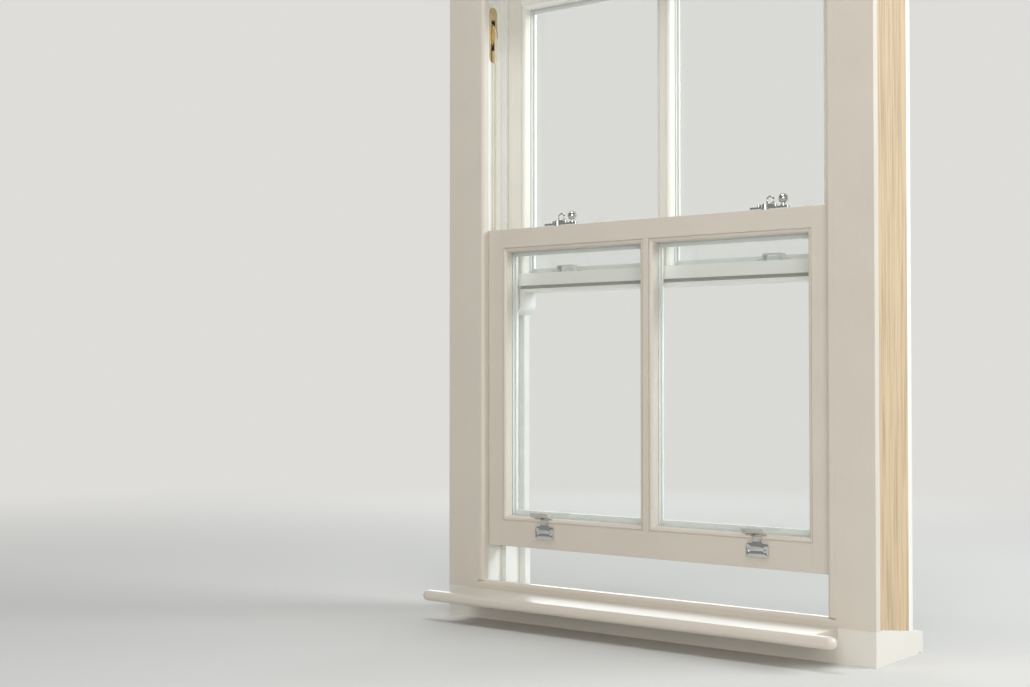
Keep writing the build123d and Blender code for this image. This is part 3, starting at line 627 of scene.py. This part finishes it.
def add_strip(mesh, low, high, tip=1.0):
    """A box between two corners, added to a bmesh. Its room end is narrowed to the share tip."""
    (x0, y0, z0), (x1, y1, z1) = low, high
    corners = []
    for y, share in ((y1, 1.0), (y0, tip)):
        xm, zm = (x0 + x1) / 2, (z0 + z1) / 2
        xr, zr = (x1 - x0) / 2 * share, (z1 - z0) / 2 * share
        corners += [mesh.verts.new((xm + sx * xr, y, zm + sz * zr))
                    for sx, sz in ((-1, -1), (1, -1), (1, 1), (-1, 1))]
    faces = [(0, 1, 2, 3), (7, 6, 5, 4), (0, 4, 5, 1), (1, 5, 6, 2), (2, 6, 7, 3), (3, 7, 4, 0)]
    for face in faces:
        mesh.faces.new([corners[i] for i in face])


def scattered(index):
    """A number between -0.5 and 0.5 that looks random and is always the same for an index."""
    step, spread = 12.9898, 43758.5453
    value = math.sin(index * step) * spread
    return value - math.floor(value) - 0.5


def build_seal(pile):
    """Brush pile in the recess under the nose of the upper meeting rail: a backing with tufts."""
    low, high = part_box("upper_stile_left")
    front = low.y
    half = -low.x - STILE_FACE
    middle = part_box("upper_meeting_rail")[1].z - NOSE_HEIGHT - RECESS_HEIGHT / 2
    back = front + RECESS_DEPTH
    foot = back - BACKING_DEPTH
    mesh = bmesh.new()
    add_strip(mesh, (-half, foot, middle - BACKING_HEIGHT / 2),
              (half, back, middle + BACKING_HEIGHT / 2))
    count = int(2 * half / TUFT_SPACING)
    for index in range(count):
        x = -half + (index + 0.5) * 2 * half / count
        sway = scattered(index) * TUFT_SWAY
        for row in (-1, 1):
            z = middle + row * ROW_SPACING / 2
            add_strip(mesh, (x - TUFT_WIDTH / 2 + sway, front + TUFT_SETBACK, z - TUFT_HEIGHT / 2),
                      (x + TUFT_WIDTH / 2 + sway, foot, z + TUFT_HEIGHT / 2), TUFT_TIP)
    bmesh.ops.recalc_face_normals(mesh, faces=mesh.faces[:])
    new_piece("meeting_rail_pile", mesh, pile, "upper_sash")


def cord_route(side, wheel, foot, end):
    """Points up from the sash, over the wheel and down to the weight, and the index of the top one."""
    near = wheel.x - side * PITCH_RADIUS
    far = wheel.x + side * PITCH_RADIUS
    up = round((wheel.z - foot) / CORD_STEP)
    over = 2 * round(math.pi * PITCH_RADIUS / CORD_STEP / 2)
    down = round((wheel.z - end) / CORD_STEP)
    points = [Vector((near, wheel.y, foot + (wheel.z - foot) * step / up)) for step in range(up)]
    for step in range(over + 1):
        angle = math.pi * step / over
        points.append(Vector((wheel.x - side * PITCH_RADIUS * math.cos(angle), wheel.y,
                              wheel.z + PITCH_RADIUS * math.sin(angle))))
    points += [Vector((far, wheel.y, wheel.z + (end - wheel.z) * step / down))
               for step in range(1, down + 1)]
    return points, up + over // 2


def plaited_tube(points, travelled):
    """A tube along points in a wheel's plane, plaited on from the length already travelled."""
    mesh = bmesh.new()
    across = Vector((0, 1, 0))
    rings = []
    for index, point in enumerate(points):
        before = points[max(index - 1, 0)]
        after = points[min(index + 1, len(points) - 1)]
        out = (after - before).normalized().cross(across).normalized()
        if index:
            travelled += (point - before).length
        phase = 2 * math.pi * travelled / PLAIT_LENGTH
        ring = []
        for side in range(CORD_SIDES):
            angle = 2 * math.pi * side / CORD_SIDES
            strand = PLAIT_STRANDS / 2 * angle
            weave = abs(math.sin(strand + phase)) * abs(math.sin(strand - phase))
            radius = CORD_RADIUS * (1 - PLAIT_DEPTH + PLAIT_DEPTH * math.sqrt(weave))
            ring.append(mesh.verts.new(point + across * radius * math.cos(angle)
                                       + out * radius * math.sin(angle)))
        rings.append(ring)
    skin(mesh, rings, smooth=True)
    return mesh


def build_cords(cotton):
    """Each cord in two lengths: one from its sash up over the wheel, the other on down to its weight.
    """
    for sash in SASHES:
        for hand, side in SIDES.items():
            wheel = middle_of(f"{sash}_wheel_{hand}")
            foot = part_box(f"{sash}_stile_{hand}")[1].z - CORD_ANCHOR
            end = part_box(f"{sash}_weight_{hand}")[1].z - CORD_BORE
            points, apex = cord_route(side, wheel, foot, end)
            lengths = (("sash", points[:apex + 1], 0.0, f"{sash}_sash", foot),
                       ("weight", points[apex:], apex * CORD_STEP, f"{sash}_weight_{hand}", end))
            for kind, run, travelled, body, level in lengths:
                mesh = plaited_tube(run, travelled)
                piece = new_piece(f"{sash}_cord_to_{kind}_{hand}", mesh, cotton, None)
                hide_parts(f"{sash}_cord_{hand}")
                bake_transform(piece)


def by_ray(graph, lit, seen, mirrored):
    """Three shaders in one: for light that falls on things, for the camera and for mirrors."""
    path = graph.add("ShaderNodeLightPath").outputs
    # A ray that goes through glass counts as glossy too, and sees what the camera sees
    through = path["Is Transmission Ray"]
    plainly = graph.math("MAXIMUM", path["Is Camera Ray"], through)
    glossy = graph.math("SUBTRACT", path["Is Glossy Ray"], through)
    return graph.mix_shader(glossy, graph.mix_shader(plainly, lit, seen), mirrored)


def mirrored_surround(graph, depth, height):
    """What metal and glass reflect: the backdrop's colour, dimmer in the room and most so overhead."""
    pale = linear(BACKDROP)
    indoors = graph.ramp(depth, BACKDROP_TO_ROOM, smooth=True)
    overhead = graph.math("MULTIPLY", indoors, graph.ramp(height, ROOM_TO_TOP, smooth=True))
    level = graph.mix_colour(indoors, pale, dimmed(pale, MIRRORED_ROOM))
    return graph.mix_colour(overhead, level, dimmed(pale, MIRRORED_TOP))


def build_floor():
    """A pale floor that takes the object's shadow and fades into the backdrop."""
    bpy.ops.mesh.primitive_circle_add(vertices=96, radius=FLOOR_RADIUS, fill_type="NGON",
                                      location=(0, 0, cad_low.z))
    floor = bpy.context.object
    floor.name = "floor"
    material, graph = new_material("floor")
    matt = graph.coloured("ShaderNodeBsdfDiffuse", linear(FLOOR))
    place = graph.place()
    distance = graph.add("ShaderNodeVectorMath", {0: place}, operation="LENGTH").outputs["Value"]
    way = graph.add("ShaderNodeVectorMath", {0: place}, operation="NORMALIZE").outputs[0]
    surround = mirrored_surround(graph, depth=graph.axes(way)["Y"], height=0.0)
    seen = graph.coloured("ShaderNodeEmission", linear(BACKDROP))
    mirrored = graph.coloured("ShaderNodeEmission", surround)
    far = by_ray(graph, matt, seen, mirrored)
    graph.surface(graph.mix_shader(graph.ramp(distance, FLOOR_FADE, smooth=True), matt, far))
    floor.data.materials.append(material)


def build_world():
    """A soft surround: dim and warm on the room side, brighter and cool outdoors."""
    world = bpy.data.worlds.new("surround")
    bpy.context.scene.world = world
    world.use_nodes = True
    graph = Graph(world.node_tree)
    way = graph.axes(graph.add("ShaderNodeTexCoord").outputs["Generated"])
    outdoors = graph.ramp(way["Y"], ROOM_TO_SKY, smooth=True)
    light = graph.mix_colour(outdoors, dimmed(ROOM_LIGHT, ROOM_LEVEL), dimmed(SKY_LIGHT, SKY_LEVEL))
    surround = mirrored_surround(graph, depth=way["Y"], height=way["Z"])
    lit = graph.coloured("ShaderNodeBackground", light)
    seen = graph.coloured("ShaderNodeBackground", linear(BACKDROP))
    mirrored = graph.coloured("ShaderNodeBackground", surround)
    graph.add("ShaderNodeOutputWorld", {"Surface": by_ray(graph, lit, seen, mirrored)})


def build_lights():
    """Daylight from outdoors and a weak fill from the room, from large lamps that aren't seen."""
    for name, place, size, power, colour in LAMPS:
        data = bpy.data.lights.new(name, "AREA")
        data.shape = "RECTANGLE"
        data.size, data.size_y = size
        data.energy = power
        data.color = colour
        lamp = add_object(name, data)
        lamp.location = place
        x, y, z = [t - p for t, p in zip(LAMP_TARGET, place)]
        lamp.rotation_euler = (math.atan2(math.hypot(x, y), -z), 0, math.atan2(y, x) - math.pi / 2)
        lamp.visible_camera = False
        lamp.visible_transmission = False


def build_camera():
    """The photograph's viewpoint, to the right of the window and just below its middle."""
    data = bpy.data.cameras.new("camera")
    data.lens = CAMERA_LENS
    data.sensor_width = CAMERA_SENSOR
    camera = add_object("camera", data)
    camera.location = CAMERA_PLACE
    camera.rotation_euler = [math.radians(angle) for angle in CAMERA_TURN]
    bpy.context.scene.camera = camera


dress_timber()
dress_fittings()
build_floor()
build_world()
build_lights()
build_camera()
bpy.context.scene.view_settings.view_transform = "Standard"
